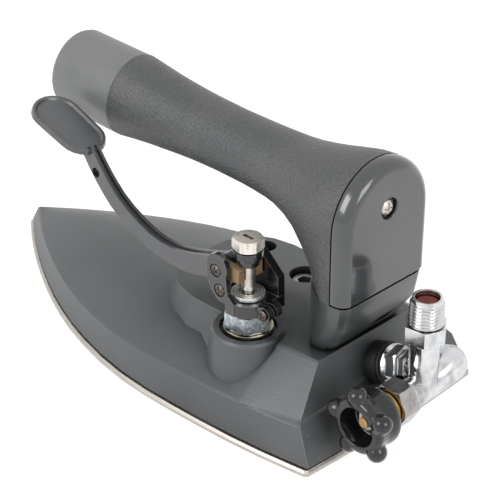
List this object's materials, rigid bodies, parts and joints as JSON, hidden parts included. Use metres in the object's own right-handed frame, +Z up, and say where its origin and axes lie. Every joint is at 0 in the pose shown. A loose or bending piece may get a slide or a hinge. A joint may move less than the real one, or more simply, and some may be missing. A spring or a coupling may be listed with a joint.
{
  "type": "steam iron",
  "caption": "Industrial all-steam iron: pointed sole, black steam chamber, arched handle, thumb lever that lifts the steam valve, inlet with needle valve and five-lobed knob",
  "frame": {"origin": "middle of the sole's underside, halfway between the heel line and the tip, on the plane that the iron stands on", "axes": "+X towards the sole's tip, +Y to the iron's left side where the thumb lever is, +Z up"},
  "size_m": [0.2399, 0.1072, 0.1076],
  "materials": {
    "sole": "fine ground",
    "casting": "satin",
    "foot": "satin",
    "lever": "satin",
    "bracket": "gloss",
    "grip": "finely pebbled",
    "cap": "smooth",
    "cover": "gloss",
    "knob": "gloss",
    "zinc": "zinc plated",
    "screws": "dark plated",
    "stainless": "turned",
    "chrome": "polished",
    "brass": "turned",
    "plug": "matt",
    "seals": "matt",
    "baffle": "sheet"
  },
  "bodies": {
    "base": {"sole_plate": "sole", "sole_gasket": "seals", "steam_baffle": "baffle", "chamber_casting": "casting", "sole_screw_rear_left": "screws", "sole_screw_rear_right": "screws", "sole_screw_front_left": "screws", "sole_screw_front_right": "screws", "valve_washer": "zinc", "valve_body": "zinc", "valve_seat": "brass", "valve_spring": "stainless", "stem_packing": "seals", "valve_top_disc": "zinc", "valve_bracket": "bracket", "pivot_screw": "screws", "cheek_screw": "screws", "clamp_screw": "screws", "handle_bracket": "foot", "bracket_bolt_left": "screws", "bracket_bolt_right": "screws", "handle_core": "stainless", "core_pin": "stainless", "grip_sleeve": "grip", "front_cap": "cap", "rear_cover": "cover", "cover_screw": "stainless", "inlet_seal": "seals", "inlet_flange_nut": "chrome", "regulator_body": "chrome", "inlet_nipple": "chrome", "gland_nut": "zinc", "gland_ring": "brass", "needle_packing": "seals"},
    "lever": {"thumb_lever": "lever", "lifter_fork": "brass"},
    "stem": {"valve_stem": "stainless", "valve_disc": "seals", "stem_collar": "bracket", "stem_cap": "stainless"},
    "needle": {"needle_tip": "brass"},
    "knob": {"needle_spindle": "brass", "regulator_knob": "knob", "knob_nut": "zinc"},
    "plug": {"dust_plug": "plug"}
  },
  "joints": [
    {"name": "lever_press", "type": "hinge", "parent": "base", "child": "lever", "pos_m": [-0.0521, 0.0284, 0.0593], "axis": [0, 1, 0], "range_deg": [0, 7], "stiffness_Nm_per_rad": 0.9, "springref_deg": -14.32},
    {"name": "stem_lift", "type": "slide", "parent": "base", "child": "stem", "axis": [0, 0, 1], "range_m": [0, 0.001], "deforming": ["valve_spring"]},
    {"name": "needle_advance", "type": "slide", "parent": "base", "child": "needle", "axis": [0, 1, 0], "range_m": [0, 0.0021]},
    {"name": "knob_turn", "type": "hinge", "parent": "needle", "child": "knob", "pos_m": [-0.1187, -0.0024, 0.0218], "axis": [0, 1, 0], "range_deg": [0, 720]},
    {"name": "plug_pull", "type": "slide", "parent": "base", "child": "plug", "axis": [0, 0, 1], "range_m": [0, 0.012]}
  ],
  "couplings": [
    {"joint": "stem_lift", "follows": "lever_press", "m_per_rad": 0.008},
    {"joint": "needle_advance", "follows": "knob_turn", "m_per_rad": 0.00015915}
  ]
}
